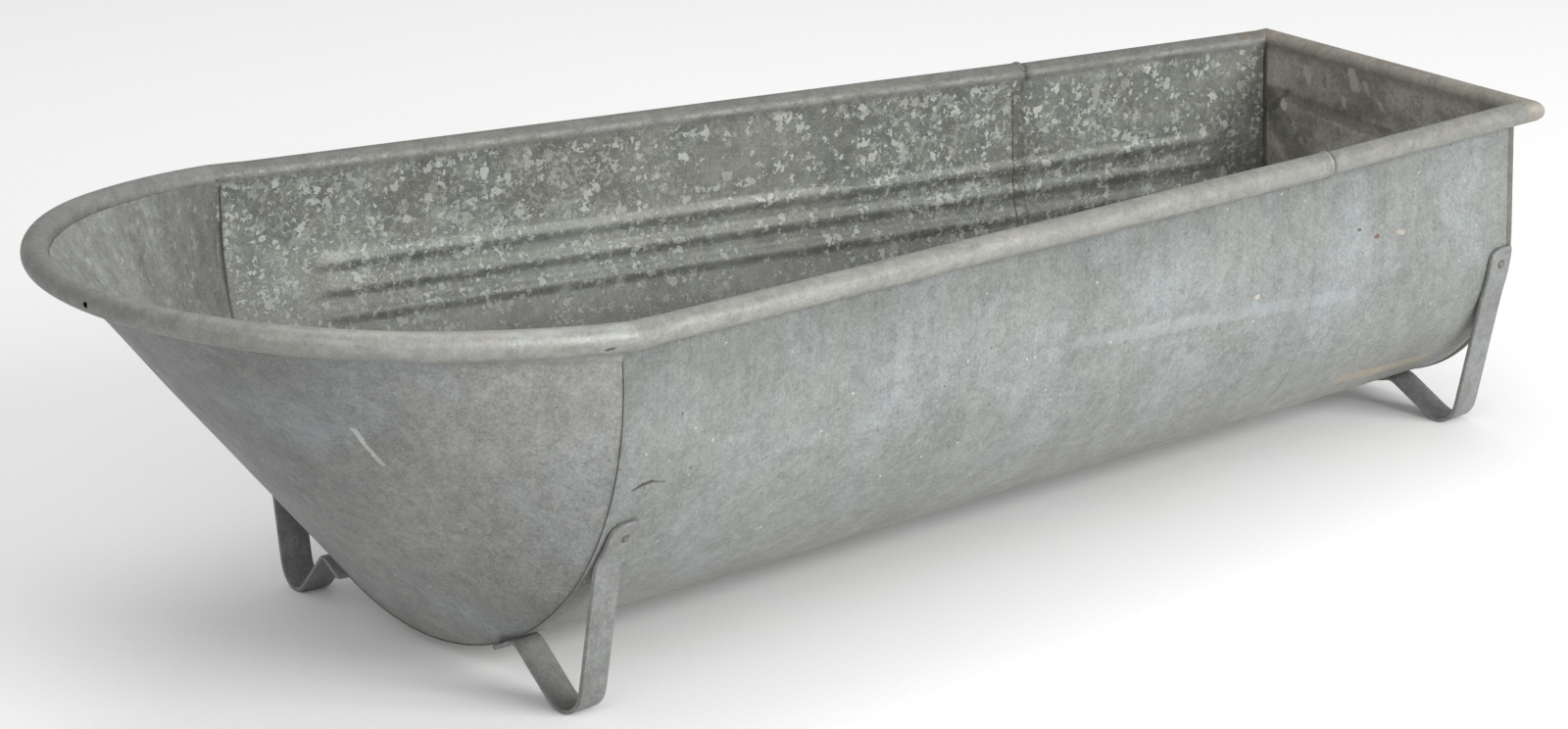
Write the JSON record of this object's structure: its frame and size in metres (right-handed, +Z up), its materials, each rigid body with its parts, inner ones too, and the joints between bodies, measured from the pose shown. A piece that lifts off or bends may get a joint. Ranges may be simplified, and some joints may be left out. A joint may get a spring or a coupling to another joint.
{
  "type": "livestock water trough",
  "caption": "Long U-shaped galvanised steel water trough with a deep sloping rounded nose, a narrow flat end, a hollow rolled rim and bent strap feet.",
  "frame": {"origin": "on the ground under the soles, at the middle of the overall length and width", "axes": "+X runs along the trough from the nose to the flat end, +Y is its left side, +Z is up"},
  "size_m": [1.743, 0.7622, 0.4612],
  "materials": {
    "galvanised_nose": "weathered hot-dip galvanised sheet, dull grey with brownish film",
    "galvanised_rim": "weathered hot-dip galvanised bead with tan stains",
    "galvanised_body": "weathered hot-dip galvanised sheet with pale oxide blooms",
    "galvanised_end": "weathered hot-dip galvanised sheet, brownish inside",
    "galvanised_feet": "dark weathered galvanised strap",
    "rivets": "dull grey steel"
  },
  "bodies": {
    "root": {"nose_sheet": "galvanised_nose", "nose_rim": "galvanised_rim", "long_body_sheet": "galvanised_body", "short_body_sheet": "galvanised_body", "end_panel": "galvanised_end", "foot_nose_left": "galvanised_feet", "foot_nose_right": "galvanised_feet", "foot_end_left": "galvanised_feet", "foot_end_right": "galvanised_feet", "side_rivets": "rivets", "belly_rivets": "rivets"}
  },
  "joints": []
}
